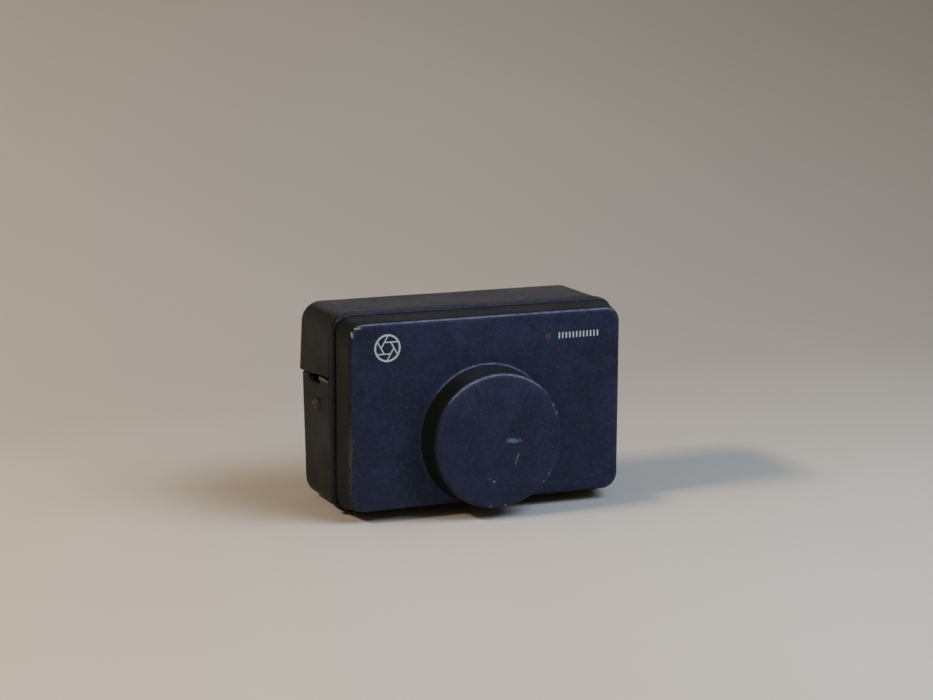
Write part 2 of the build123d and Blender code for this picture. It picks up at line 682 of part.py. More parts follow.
def cover():
    """Every piece of the cover, each cut to the pieces that pass through it."""
    inside_z = BINDING_LOW + BINDING_THICK + WALL
    strip_rivets = [hinge_rivet(x, HINGE_RIVET_FRONT_Y, inside_z) for x in hinge_rivet_places()]
    stud = press_stud()
    eyelet = stud_eyelet()
    shell = cover_shell()
    cap = (cap_block(0) & slab(CAP_FRONT, FAR)) - cap_block(WALL) - stud
    band = joint_band(shell, cap)
    binding = edge_binding()
    strip = hinge_strip(BINDING_FRONT, STRIP_FRONT_END, HINGE_RIVET_FRONT_Y)
    for piece in strip_rivets:
        shell -= piece
        binding -= piece
    lining = (cover_cavity(0) - cover_cavity(LINING)) & slab(-FAR, -BAND_REACH - LINING_GAP)
    lining -= rod_y(DOME_X, DOME_Z, DOME_FACE_R - WALL, -FAR, DOME_OPENING_BACK)
    dome_lining = dome_hollow(0) - dome_hollow(LINING)
    dome_lining = dome_lining & slab(-FAR, PANEL_FACE + WALL)
    cap_lining = (cap_block(WALL) & slab(BAND_REACH + LINING_GAP, FAR)) - cap_block(WALL + LINING)
    cap_lining = above_parting(cap_lining, EDGE_CLEAR) - stud - eyelet
    return {
        "front_cover_shell": shell,
        "edge_binding": binding,
        "top_cap_shell": cap,
        "joint_band": band,
        "front_cover_lining": lining,
        "dome_lining": dome_lining,
        "top_cap_lining": cap_lining,
        "hinge_strip_front": strip,
        "hinge_rivets_front": Compound(children=strip_rivets),
        "press_stud": stud,
        "press_stud_eyelet": eyelet,
        "emblem_foil": emblem(),
        "red_dot_foil": foil(Circle(DOT_R), DOT_X),
        "mark_row_foil": mark_row(),
    }


# Closing tab


def tab_piece(y_low, y_high):
    """Layer of the closing tab with a round end, pierced for the socket."""
    low = TAB_AXIS_Z + TAB_BEND
    middle = TAB_TOP - TAB_HALF
    blade = Pos(0, (y_low + y_high) / 2, (low + middle) / 2) * Box(
        2 * TAB_HALF, y_high - y_low, middle - low
    )
    blade += rod_y(0, middle, TAB_HALF, y_low, y_high)
    return blade - rod_y(0, STUD_Z, SOCKET_R, y_low - 1, y_high + 1)


def stud_socket():
    """Socket of the press stud, set in the tab, with a groove for its spring wire."""
    socket = rod_y(0, STUD_Z, SOCKET_R, TAB_INNER_Y, TAB_OUTER_Y)
    socket -= rod_y(0, STUD_Z, SOCKET_HOLE_R, 0, FAR)
    return socket - socket_wire()


def socket_wire():
    """Spring wire ring that grips the stud."""
    middle = (TAB_INNER_Y + TAB_OUTER_Y) / 2
    return Pos(0, middle, STUD_Z) * Rot(90, 0, 0) * Torus(SOCKET_RING_R, SOCKET_WIRE_R)


def stud_cap():
    """Domed button on the outside of the tab."""
    button = rod_y(0, STUD_Z, STUD_CAP_R, TAB_OUTER_Y, STUD_FACE)
    return fillet(button.edges().sort_by(Axis.Y)[-1], STUD_CAP_ROUND)


def closure_tab():
    """Every piece of the closing tab."""
    return {
        "closure_tab_strap": tab_piece(TAB_STRAP_INNER_Y, TAB_OUTER_Y),
        "closure_tab_backing": tab_piece(TAB_INNER_Y, TAB_STRAP_INNER_Y),
        "stud_socket": stud_socket(),
        "stud_socket_spring": socket_wire(),
        "stud_cap": stud_cap(),
    }


pieces = {
    **half_case(),
    "camera_screw_head": screw_head(),
    "camera_screw_shank": screw_shank(),
    "camera_screw_clip": screw_clip(),
    **cover(),
    **closure_tab(),
}
os.makedirs("parts", exist_ok=True)
for node, solid in pieces.items():
    export_step(solid, f"parts/{node}.step")
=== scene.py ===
import math

import bmesh
import bpy
import numpy as np
from mathutils import Matrix, Vector, noise


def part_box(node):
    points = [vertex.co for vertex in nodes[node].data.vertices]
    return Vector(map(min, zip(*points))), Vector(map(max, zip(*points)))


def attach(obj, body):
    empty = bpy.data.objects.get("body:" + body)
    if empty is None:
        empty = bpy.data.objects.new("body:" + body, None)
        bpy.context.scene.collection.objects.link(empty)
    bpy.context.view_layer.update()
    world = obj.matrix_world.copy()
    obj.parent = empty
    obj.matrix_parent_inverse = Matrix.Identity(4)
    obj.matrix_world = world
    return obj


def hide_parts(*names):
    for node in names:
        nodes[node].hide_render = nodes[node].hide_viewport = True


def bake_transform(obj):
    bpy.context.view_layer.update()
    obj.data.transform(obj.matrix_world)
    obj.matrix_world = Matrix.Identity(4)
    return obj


# Looks of the hard camera case. The board shells, linings and leathers are rebuilt as soft-edged
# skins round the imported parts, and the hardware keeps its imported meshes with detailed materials.

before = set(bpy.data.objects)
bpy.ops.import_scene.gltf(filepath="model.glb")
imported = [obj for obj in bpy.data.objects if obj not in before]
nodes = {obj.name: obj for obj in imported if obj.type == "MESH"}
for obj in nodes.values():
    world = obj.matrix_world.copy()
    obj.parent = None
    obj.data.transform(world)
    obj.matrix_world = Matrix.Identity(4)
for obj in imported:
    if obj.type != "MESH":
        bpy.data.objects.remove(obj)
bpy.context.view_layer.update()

MM = 0.001

# Camera, from the middle of the closed case
CAMERA_AIM = Vector((-0.0133, -0.0258, 0.0773))
CAMERA_AZIMUTH = math.radians(-23.8)
CAMERA_ELEVATION = math.radians(10.65)
CAMERA_DISTANCE = 1.1317
CAMERA_ROLL = math.radians(0.305)
CAMERA_LENS = 95.4
SENSOR_WIDTH = 36

# Seamless paper
FLOOR_HALF_WIDTH = 2.2
FLOOR_FRONT = -1.9
FLOOR_RISE = 1.2
SWEEP_START = 0.25
SWEEP_RADIUS = 0.55
SWEEP_STEPS = 28
SWEEP_ANGLE = math.radians(38)

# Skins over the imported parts
SHELL_VOXEL = 0.6 * MM
LINING_VOXEL = 0.45 * MM
LEATHER_VOXEL = 0.33 * MM
WAVE_LENGTH = 26 * MM
# Height of the normal where the front turns to the top, along which a painted highlight runs
HIGHLIGHT_RIDGE_TURN = 0.62
CREASE_LENGTH = 5 * MM
FACING_FRONT = (0.20, 0.98)
FACING_UP = (0.75, 0.98)
WEAR_ROUNDS = 14
SEAM_CLEAR = 0.06 * MM
SEAM_FROM = 0.8 * MM
SEAM_FULL = 0.3 * MM
BEND_OVERLAP = 0.1 * MM

# Start of the noise vectors that bend and crumple the skins, which would follow the clock without it
WAVE_SEED = 1794891750
noise.seed_set(WAVE_SEED)

# Torn strap ends
RIVET_HEAD_HIGH = 1.1 * MM
PATCH_HIGH = 1.25 * MM
PATCH_LONG = 4.3 * MM
PATCH_TALL = 2.9 * MM
PATCH_DROP = 0.6 * MM
PATCH_SUNK = 0.05 * MM
PATCH_RINGS = 9
PATCH_SIDES = 96

# Frayed edge
FRAY_START = 12.3 * MM
FRAY_END = 0.7 * MM
FRAY_TALL = 1.15 * MM
FRAY_THICK = 0.22 * MM
FRAY_TOP_DROP = 0.55 * MM
FRAY_FOOT_DROP = 1.35 * MM
FRAY_FOOT_RISE = 0.35 * MM
FRAY_CURL = 0.25 * MM
FRAY_GAP = 0.02 * MM
FRAY_LEAN = 0.26 * MM
FRAY_STEPS = 90
FRAY_ROWS = 5

# Colours and gloss
DEEP = (0.006, 0.0065, 0.008)
# Tint of the faces that face the front: black cloth with painted cool light in it, which makes it navy
NAVY_PAINTED_LIGHT = (0.030, 0.043, 0.100)
# Painted sheen: a lighter navy for the front's upper middle, where the light falls brightest
NAVY_PAINTED_SHEEN = (0.052, 0.070, 0.165)
# Colour of dust on the front's up faces, with painted sheen in it
NAVY_DUST_AND_SHEEN = (0.026, 0.030, 0.048)
# Pale colour of the front's rubbed edges, also the painted highlight along its top edge
NAVY_WORN_AND_HIGHLIGHT = (0.23, 0.28, 0.43)
# Tint of the walls that don't face the front: the same black cloth in a darker painted shade
WALL_PAINTED_SHADE = (0.006, 0.010, 0.007)
BODY_BLACK = (0.017, 0.018, 0.020)
# Colour of dust on the body's up faces, lightened and blued as painted sheen
BODY_DUST_AND_SHEEN = (0.088, 0.091, 0.120)
# Pale colour of the body's rubbed edges, also the painted highlight along its front top edge
BODY_WORN_AND_HIGHLIGHT = (0.085, 0.082, 0.078)
# Tint of the binding where it faces the front, with painted cool light in it
ROLL_PAINTED_LIGHT = (0.012, 0.015, 0.030)
# Colour of dust on the binding's up faces, with painted sheen in it
ROLL_DUST_AND_SHEEN = (0.045, 0.055, 0.10)
# Pale colour of the binding's rubbed edges, also the painted highlight along its top edge
ROLL_WORN_AND_HIGHLIGHT = (0.12, 0.15, 0.24)
RUST_EDGE = (0.15, 0.11, 0.12)
PAINT_BLUE = (0.15, 0.27, 0.43)
SCUFF = (0.22, 0.25, 0.30)
EDGE_PALE = (0.42, 0.43, 0.46)
DUST_SPECK = (0.20, 0.21, 0.23)
BOARD_DARK = (0.015, 0.014, 0.013)
BOARD_PALE = (0.075, 0.070, 0.063)
PAPER_GREY = (0.63, 0.62, 0.61)
WALL_GLOSS = 0.06
BODY_GLOSS = 0.08

# Radius of the ring of worn flecks on the dome's rim
RIM_REACH = 30.8 * MM

# Light
CASE_MIDDLE = Vector((0, 0, 0.04))
ROOM_TINT = (1.0, 0.80, 0.52, 1)
ROOM_LIGHT = 0.16

# Sockets of Blender's mix node when it mixes colours
MIX_FIRST = 6
MIX_SECOND = 7
MIX_RESULT = 2


# Meshes


def new_piece(name, mesh):
    """A new object that holds the mesh, in the scene."""
    piece = bpy.data.objects.new(name, mesh)
    bpy.context.scene.collection.objects.link(piece)
    return piece


def joined_form(names, blocks=()):
    """One mesh with the faces of some CAD nodes and of some plain blocks that bridge them."""
    form = bmesh.new()
    for name in names:
        form.from_mesh(nodes[name].data)
    for low, high in blocks:
        size = Vector(high) - Vector(low)
        middle = (Vector(high) + Vector(low)) / 2
        place = Matrix.Translation(middle) @ Matrix.Diagonal((*size, 1))
        bmesh.ops.create_cube(form, size=1, matrix=place)
    mesh = bpy.data.meshes.new("form")
    form.to_mesh(mesh)
    form.free()
    return mesh


def applied(piece):
    """The piece with its modifiers applied."""
    graph = bpy.context.evaluated_depsgraph_get()
    mesh = bpy.data.meshes.new_from_object(piece.evaluated_get(graph))
    piece.modifiers.clear()
    piece.data = mesh
    return piece


def points_of(mesh):
    """Places of a mesh's vertices as an array."""
    flat = np.zeros(len(mesh.vertices) * 3)
    mesh.vertices.foreach_get("co", flat)
    return flat.reshape(-1, 3)


def normals_of(mesh):
    """Normals at a mesh's vertices as an array."""
    flat = np.zeros(len(mesh.vertices) * 3)
    mesh.vertex_normals.foreach_get("vector", flat)
    return flat.reshape(-1, 3)


def edges_of(mesh):
    """Vertex pairs of a mesh's edges as an array."""
    flat = np.zeros(len(mesh.edges) * 2, int)
    mesh.edges.foreach_get("vertices", flat)
    return flat.reshape(-1, 2)


def put_points(mesh, points):
    """Moves a mesh's vertices."""
    mesh.vertices.foreach_set("co", points.astype(np.float32).ravel())
    mesh.update()


def relaxed(points, edges, rounds, share=0.5):
    """Points after each has moved towards the middle of its neighbours, some rounds over."""
    ends = np.concatenate([edges, edges[:, ::-1]])
    count = np.bincount(ends[:, 0], minlength=len(points))[:, None]
    count = np.maximum(count, 1)
    for _ in range(rounds):
        total = np.stack([
            np.bincount(ends[:, 0], points[ends[:, 1], axis], len(points)) for axis in range(3)
        ], axis=1)
        points = points + share * (total / count - points)
    return points


def give(mesh, name, values):
    """Stores one number for each vertex, for the mesh's material."""
    layer = mesh.attributes.new(name, "FLOAT", "POINT")
    layer.data.foreach_set("value", values.astype(np.float32))


def step(values, low, high):
    """Smooth step of an array from 0 at low to 1 at high."""
    share = np.clip((values - low) / (high - low), 0, 1)
    return share * share * (3 - 2 * share)


def between(a, b, share):
    """Number the given share of the way from a to b."""
    return a + (b - a) * share


def waves(points, length, size, seed):
    """Slow bends of a pressed sheet: a small shift of each point that changes over the length."""
    offset = Vector((seed * 7.3, seed * 3.1, seed * 5.7))
    shifts = [noise.noise_vector(Vector(p) / length + offset) for p in points]
    return np.array(shifts) * size


def crumples(points, centre, reach, size):
    """Small creases that fade out with the distance from centre."""
    shifts = np.zeros_like(points)
    away = np.linalg.norm(points - np.array(centre), axis=1) / reach
    for n in np.flatnonzero(away < 1):
        stretched = Vector(points[n]) * (1 / CREASE_LENGTH)
        stretched.y *= 3
        shifts[n] = noise.noise_vector(stretched) * size * (1 - away[n])
    return shifts


def squared_end(points, direction, target):
    """Points with the rim at the end along direction set flat at the target distance along it."""
    direction = np.array(direction, float)
    along = points @ direction
    share = step(along, along.max() - SEAM_FROM, along.max() - SEAM_FULL)
    return points + np.outer(share * (target - along), direction)


def skin(name, names, body, voxel, rounds=3, wave=0.1 * MM, seed=1, blocks=(), keep=1.0,
         creased=(), seam=None):
    """Soft-edged piece with the form of some CAD nodes, which it replaces."""
    piece = new_piece(name, joined_form(names, blocks))
    remesh = piece.modifiers.new("remesh", "REMESH")
    remesh.mode = "VOXEL"
    remesh.voxel_size = voxel
    remesh.use_smooth_shade = True
    applied(piece)
    mesh = piece.data
    points = relaxed(points_of(mesh), edges_of(mesh), rounds)
    points = points + waves(points, WAVE_LENGTH, wave, seed)
    for centre, reach, size in creased:
        points = points + crumples(points, centre, reach, size)
    if seam:
        points = squared_end(points, *seam)
    put_points(mesh, points)
    add_edge_wear(mesh, voxel)
    if keep < 1:
        thin = piece.modifiers.new("thin", "DECIMATE")
        thin.ratio = keep
        applied(piece)
    piece.data.shade_smooth()
    if body:
        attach(piece, body)
    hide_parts(*names)
    return piece


def add_edge_wear(mesh, voxel):
    """Stores how sharply the surface turns outwards at each vertex, where covering wears."""
    points = points_of(mesh)
    flat = relaxed(points, edges_of(mesh), WEAR_ROUNDS)
    bulge = ((points - flat) * normals_of(mesh)).sum(axis=1)
    give(mesh, "edge", step(bulge, 0.10 * voxel, 0.75 * voxel))


def add_facing(piece):
    """Stores where the surface faces the front, for painted cool light there and painted shade on the
    walls, where it faces up, for dust with a painted sheen, and the thin band where front turns to top, for
    a painted highlight.
    """
    normals = normals_of(piece.data)
    give(piece.data, "front", step(-normals[:, 1], *FACING_FRONT))
    give(piece.data, "dust", step(normals[:, 2], *FACING_UP))
    # Painted highlight: a thin band where the front turns to the top, where the lights catch the edge
    turn = normals[:, 2] - HIGHLIGHT_RIDGE_TURN
    highlight_ridge = 1 - step(np.abs(turn), 0.05, 0.16)
    give(piece.data, "highlight_ridge", highlight_ridge * step(-normals[:, 1], 0.4, 0.6))


# Materials


class Finish:
    """Short calls for building one material's nodes."""

    def __init__(self, name, colour, roughness, **sockets):
        self.material = bpy.data.materials.new(name)
        self.material.use_nodes = True
        self.tree = self.material.node_tree
        self.shader = self.tree.nodes["Principled BSDF"]
        self.place = self.add("ShaderNodeTexCoord").outputs["Object"]
        self.feed(self.shader.inputs["Base Color"], colour)
        self.feed(self.shader.inputs["Roughness"], roughness)
        for socket, value in sockets.items():
            self.feed(self.shader.inputs[socket.replace("_", " ")], value)

    def add(self, kind, **settings):
        """New node with some settings."""
        node = self.tree.nodes.new(kind)
        for name, value in settings.items():
            setattr(node, name, value)
        return node

    def feed(self, socket, value):
        """Links an output into a socket, or sets its value."""
        if isinstance(value, bpy.types.NodeSocket):
            self.tree.links.new(value, socket)
        elif isinstance(value, tuple) and len(value) == 3 and socket.type == "RGBA":
            socket.default_value = (*value, 1)
        else:
            socket.default_value = value

    def stretched(self, scale, turn=(0, 0, 0), shift=(0, 0, 0)):
        """Object place after a mapping."""
        node = self.add("ShaderNodeMapping")
        self.feed(node.inputs["Vector"], self.place)
        self.feed(node.inputs["Scale"], scale)
        self.feed(node.inputs["Rotation"], turn)
        self.feed(node.inputs["Location"], shift)
        return node.outputs["Vector"]

    def noise(self, size, detail=3, roughness=0.5, place=None, distortion=0):
        """Noise whose blobs are about size across, in metres."""
        node = self.add("ShaderNodeTexNoise")
        self.feed(node.inputs["Vector"], self.place if place is None else place)
        self.feed(node.inputs["Scale"], 1 / size)
        self.feed(node.inputs["Detail"], detail)
        self.feed(node.inputs["Roughness"], roughness)
        self.feed(node.inputs["Distortion"], distortion)
        return node.outputs["Fac"]

    def cells(self, size, feature="F1", place=None, smooth=0.4):
        """Distance inside cells about size across, in metres."""
        node = self.add("ShaderNodeTexVoronoi", feature=feature)
        self.feed(node.inputs["Vector"], self.place if place is None else place)
        self.feed(node.inputs["Scale"], 1 / size)
        if feature == "SMOOTH_F1":
            self.feed(node.inputs["Smoothness"], smooth)
        return node.outputs["Distance"]

    def math(self, operation, a, b=0.0, clamp=False):
        """Result of an operation on two numbers."""
        node = self.add("ShaderNodeMath", operation=operation, use_clamp=clamp)
        self.feed(node.inputs[0], a)
        self.feed(node.inputs[1], b)
        return node.outputs[0]

    def span(self, value, low, high, to_low=0.0, to_high=1.0):
        """Smooth change from to_low to to_high while value goes from low to high."""
        node = self.add("ShaderNodeMapRange", interpolation_type="SMOOTHSTEP")
        for socket, number in zip(node.inputs, (value, low, high, to_low, to_high)):
            self.feed(socket, number)
        return node.outputs[0]

    def mix(self, share, a, b):
        """Colour between a and b."""
        node = self.add("ShaderNodeMix", data_type="RGBA")
        self.feed(node.inputs[0], share)
        self.feed(node.inputs[MIX_FIRST], a)
        self.feed(node.inputs[MIX_SECOND], b)
        return node.outputs[MIX_RESULT]

    def stored(self, name):
        """Number that the mesh holds for each vertex."""
        return self.add("ShaderNodeAttribute", attribute_name=name).outputs["Fac"]

    def bump(self, height, depth, under=None, strength=1.0):
        """Normal with a relief of that depth, in metres, on top of another."""
        node = self.add("ShaderNodeBump")
        self.feed(node.inputs["Height"], height)
        self.feed(node.inputs["Distance"], depth)
        self.feed(node.inputs["Strength"], strength)
        if under is not None:
            self.feed(node.inputs["Normal"], under)
        return node.outputs["Normal"]

    def set(self, socket, value):
        """Feeds one of the shader's sockets."""
        self.feed(self.shader.inputs[socket], value)

    def away(self, centre, reach):
        """Distance from a spot on the object: 0 at its centre and 1 at its reach."""
        shift = tuple(-c / r for c, r in zip(centre, reach))
        length = self.add("ShaderNodeVectorMath", operation="LENGTH")
        self.feed(length.inputs[0], self.stretched(tuple(1 / r for r in reach), shift=shift))
        return length.outputs["Value"]

    def near(self, centre, reach, ragged, size):
        """1 at a spot on the object and 0 outside its reach, with a ragged edge."""
        edge = self.math("MULTIPLY", self.math("SUBTRACT", self.noise(size, 5, 0.7), 0.5), ragged)
        return self.span(self.math("ADD", self.away(centre, reach), edge), 1.0, 0.7)


def shaded(tint, share):
    """The tint made darker or lighter by a factor."""
    return tuple(share * c for c in tint)


def grain(finish, cell, depth):
    """Pebbled leathercloth relief: soft cells broken up by finer noise. Returns height and normal."""
    bent = finish.add("ShaderNodeVectorMath", operation="ADD")
    finish.feed(bent.inputs[0], finish.place)
    drift = finish.add("ShaderNodeTexNoise")
    finish.feed(drift.inputs["Vector"], finish.place)
    finish.feed(drift.inputs["Scale"], 0.4 / cell)
    scaled = finish.add("ShaderNodeVectorMath", operation="SCALE")
    finish.feed(scaled.inputs[0], drift.outputs["Color"])
    finish.feed(scaled.inputs["Scale"], cell * 0.9)
    finish.feed(bent.inputs[1], scaled.outputs["Vector"])
    cells = finish.cells(cell, "SMOOTH_F1", bent.outputs["Vector"], 0.5)
    fine = finish.noise(cell * 0.35, 3, 0.6)
    height = finish.math("ADD", finish.math("MULTIPLY", cells, -1.0), finish.math("MULTIPLY", fine, 0.35))
    slow = finish.bump(finish.noise(9 * MM, 2), 0.12 * MM, strength=0.35)
    return height, finish.bump(height, depth, slow)


def leathercloth(name, tint, worn_and_highlight, wall=None, dust_and_sheen=BODY_DUST_AND_SHEEN, cell=0.8 * MM, depth=0.13 * MM,
                 marks=(), painted_sheen=(), gloss=0.12):
    """Covering with a fine pebbled grain, pale where its edges are rubbed, with a thin painted highlight
    where the front turns to the top, and with dust and a painted sheen where it faces up.

    wall is its colour where it doesn't face the front: the same cloth in a darker painted shade. Where wall
    is given, tint is the front's colour with painted cool light in it. Each patch of painted sheen is given
    by its centre, reach, colour and strength. Each mark is a ragged spot, given by its centre, reach,
    raggedness, size of the ragged detail, colour and strength.
    """
    finish = Finish(name, tint, 0.5, Specular_IOR_Level=gloss)
    height, normal = grain(finish, cell, depth)
    base, speck = tint, worn_and_highlight
    # Painted sheen: each soft patch lightens the colour towards its shade
    for centre, reach, shade, share in painted_sheen:
        soft = finish.math("MULTIPLY", finish.span(finish.away(centre, reach), 1.0, 0.0), share)
        base = finish.mix(soft, base, shade)
    # Painted light: faces that face the front take the tint with painted cool light, and walls take a
    # darker painted shade
    if wall is not None:
        base = finish.mix(finish.stored("front"), wall, base)
        speck = finish.mix(finish.stored("front"), wall, worn_and_highlight)
        shine = finish.span(finish.stored("front"), 0.0, 1.0, WALL_GLOSS, gloss)
        finish.set("Specular IOR Level", shine)
    drift = finish.span(finish.noise(14 * MM, 4, 0.6), 0.35, 0.65)
    colour = finish.mix(finish.math("MULTIPLY", drift, 0.35), base, DEEP)
    pale = finish.span(finish.noise(2.2 * MM, 4, 0.65), 0.45, 0.75)
    colour = finish.mix(finish.math("MULTIPLY", pale, 0.08), colour, speck)
    # Dust with painted sheen: faces that look up turn lighter, in patches
    settled_dust_and_sheen = finish.span(finish.noise(5 * MM, 5, 0.65), 0.30, 0.60, 0.55, 1.0)
    settled_dust_and_sheen = finish.math("MULTIPLY", finish.stored("dust"), settled_dust_and_sheen)
    colour = finish.mix(settled_dust_and_sheen, colour, dust_and_sheen)
    colour = finish.mix(finish.span(height, -0.35, 0.02, 0.62, 1.0), DEEP, colour)
    flecks = finish.span(finish.noise(0.9 * MM, 3, 0.7), 0.47, 0.62)
    patchy = finish.span(finish.noise(3 * MM, 5, 0.7), 0.44, 0.62)
    rubbed = finish.math("MULTIPLY", finish.stored("edge"), finish.math("MULTIPLY", patchy, flecks))
    # Painted highlight: a broken pale band along that edge, added to the real rubbed wear
    line = finish.span(finish.noise(4 * MM, 4, 0.7), 0.30, 0.62, 0.35, 1.0)
    rubbed = finish.math("ADD", rubbed, finish.math("MULTIPLY", finish.stored("highlight_ridge"), line), clamp=True)
    colour = finish.mix(finish.math("MULTIPLY", rubbed, 0.8), colour, worn_and_highlight)
    dust = finish.math("MULTIPLY", finish.span(finish.noise(0.7 * MM, 2, 0.5), 0.73, 0.78), 0.25)
    colour = finish.mix(dust, colour, DUST_SPECK)
    for centre, reach, ragged, size, shade, share in marks:
        spot = finish.math("MULTIPLY", finish.near(centre, reach, ragged, size), share)
        colour = finish.mix(spot, colour, shade)
    rim = finish.stored("rim")
    board = finish.mix(finish.noise(1.1 * MM, 5, 0.7), BOARD_DARK, BOARD_PALE)
    finish.set("Base Color", finish.mix(rim, colour, board))
    smooth = finish.span(finish.noise(20 * MM, 3), 0.3, 0.7, 0.42, 0.54)
    rough = finish.math("ADD", smooth, finish.math("MULTIPLY", rubbed, -0.08))
    rough = finish.math("ADD", rough, finish.math("MULTIPLY", rim, 0.35), clamp=True)
    finish.set("Roughness", rough)
    finish.set("Normal", normal)
    return finish.material


def strap_leather(name, tint):
    """Smooth black strap leather with pores, creases and rubbed edges."""
    finish = Finish(name, tint, 0.5)
    pores = finish.cells(0.55 * MM, "F1")
    creases = finish.noise(2.4 * MM, 5, 0.65, distortion=0.6)
    normal = finish.bump(creases, 0.10 * MM, strength=0.7)
    normal = finish.bump(finish.span(pores, 0.0, 0.45), 0.05 * MM, normal)
    clouds = finish.span(finish.noise(6 * MM, 4, 0.6), 0.3, 0.7)
    colour = finish.mix(clouds, shaded(tint, 0.6), shaded(tint, 1.6))
    patchy = finish.span(finish.noise(2 * MM, 4, 0.6), 0.4, 0.65)
    rubbed = finish.math("MULTIPLY", finish.stored("edge"), patchy)
    colour = finish.mix(finish.math("MULTIPLY", rubbed, 0.8), colour, (0.13, 0.10, 0.075))
    finish.set("Base Color", colour)
    finish.set("Roughness", finish.span(creases, 0.3, 0.7, 0.38, 0.62))
    finish.set("Normal", normal)
    return finish.material


def velvet(name, tint):
    """Short velvet pile with nap that lies in patches."""
    finish = Finish(name, tint, 0.9, Sheen_Weight=0.3, Sheen_Roughness=0.35, Specular_IOR_Level=0.1)
    finish.set("Sheen Tint", (*[min(1.0, 4.5 * c + 0.08) for c in tint], 1))
    nap = finish.span(finish.noise(11 * MM, 4, 0.55, distortion=0.8), 0.36, 0.64)
    pile = finish.noise(0.28 * MM, 3, 0.7)
    colour = finish.mix(nap, shaded(tint, 0.55), shaded(tint, 1.35))
    colour = finish.mix(finish.math("MULTIPLY", pile, 0.5), colour, shaded(tint, 0.35))
    patchy = finish.span(finish.noise(3 * MM), 0.4, 0.7)
    rubbed = finish.math("MULTIPLY", finish.stored("edge"), patchy)
    colour = finish.mix(finish.math("MULTIPLY", rubbed, 0.4), colour, shaded(tint, 1.8))
    finish.set("Base Color", colour)
    normal = finish.bump(finish.noise(5 * MM, 3), 0.25 * MM, strength=0.5)
    finish.set("Normal", finish.bump(pile, 0.14 * MM, normal))
    finish.set("Roughness", finish.span(pile, 0.3, 0.7, 0.78, 0.98))
    return finish.material


def felt(name, tint):
    """Dense felt with matted fibres."""
    finish = Finish(name, tint, 0.95, Sheen_Weight=0.2, Specular_IOR_Level=0.15)
    fibres = [
        finish.noise(0.35 * MM, 4, 0.7, finish.stretched((1, 0.22, 1), (0, 0, turn)))
        for turn in (0.4, 1.5, 2.6)
    ]
    mat = finish.math("MAXIMUM", finish.math("MAXIMUM", fibres[0], fibres[1]), fibres[2])
    lumps = finish.noise(3 * MM, 4, 0.6)
    colour = finish.mix(finish.span(mat, 0.5, 0.72), shaded(tint, 0.5), shaded(tint, 1.7))
    colour = finish.mix(finish.math("MULTIPLY", lumps, 0.5), colour, tint)
    finish.set("Base Color", colour)
    finish.set("Normal", finish.bump(mat, 0.16 * MM, finish.bump(lumps, 0.3 * MM, strength=0.6)))
    finish.set("Roughness", finish.span(mat, 0.4, 0.75, 0.82, 1.0))
    return finish.material


def fibre(name, tint):
    """Vulcanised fibre board with a faint laid grain."""
    finish = Finish(name, tint, 0.6)
    laid = finish.noise(1.2 * MM, 5, 0.65, finish.stretched((0.25, 1, 1)))
    colour = finish.mix(laid, shaded(tint, 0.5), shaded(tint, 1.7))
    finish.set("Base Color", colour)
    finish.set("Normal", finish.bump(laid, 0.06 * MM))
    finish.set("Roughness", finish.span(laid, 0.3, 0.7, 0.5, 0.72))
    return finish.material


def plated(name, tint, dull, low, high, pit):
    """Old metal, low to high in roughness: fine scratches, tarnish in patches and a few pits."""
    finish = Finish(name, tint, 0.35, Metallic=1.0)
    scratches = finish.noise(0.5 * MM, 4, 0.7, finish.stretched((0.06, 1, 1), (0.3, 0.9, 0.5)))
    patches = finish.span(finish.noise(2.2 * MM, 5, 0.65), 0.42, 0.66)
    pits = finish.span(finish.cells(1.3 * MM), 0.10, 0.02)
    colour = finish.mix(patches, tint, dull)
    colour = finish.mix(finish.math("MULTIPLY", pits, pit), colour, shaded(dull, 0.25))
    finish.set("Base Color", colour)
    rough = finish.span(scratches, 0.3, 0.7, low, high)
    finish.set("Roughness", finish.math("ADD", rough, finish.math("MULTIPLY", patches, 0.15), clamp=True))
    normal = finish.bump(scratches, 0.012 * MM)
    finish.set("Normal", finish.bump(finish.math("MULTIPLY", pits, -1.0), 0.03 * MM, normal))
    return finish.material


def foil(name, tint, under, hold):
    """Hot-stamped foil that has sunk into the grain and lost small flakes."""
    finish = Finish(name, tint, 0.4)
    height, normal = grain(finish, 0.75 * MM, 0.05 * MM)
    lost = finish.span(finish.noise(0.6 * MM, 4, 0.7), hold, hold + 0.08)
    dim = finish.mix(finish.span(height, -0.5, 0.0), shaded(tint, 0.8), tint)
    finish.set("Base Color", finish.mix(finish.math("MULTIPLY", lost, 0.85), dim, under))
    finish.set("Roughness", finish.span(finish.noise(1.5 * MM), 0.3, 0.7, 0.32, 0.5))
    finish.set("Normal", normal)
    return finish.material


def torn_leather(name):
    """Rusty brown torn leather with pale broken fibres."""
    finish = Finish(name, (0.1, 0.06, 0.03), 0.8)
    strands = finish.noise(0.6 * MM, 5, 0.7, finish.stretched((1, 1, 0.3), (0.7, 0, 0)))
    pale = finish.span(finish.noise(0.9 * MM, 4, 0.65), 0.60, 0.66)
    colour = finish.mix(finish.span(strands, 0.40, 0.68), (0.014, 0.010, 0.008), (0.10, 0.064, 0.038))
    colour = finish.mix(pale, colour, (0.52, 0.46, 0.38))
    finish.set("Base Color", colour)
    finish.set("Normal", finish.bump(strands, 0.25 * MM))
    finish.set("Roughness", finish.span(strands, 0.3, 0.7, 0.6, 0.95))
    return finish.material


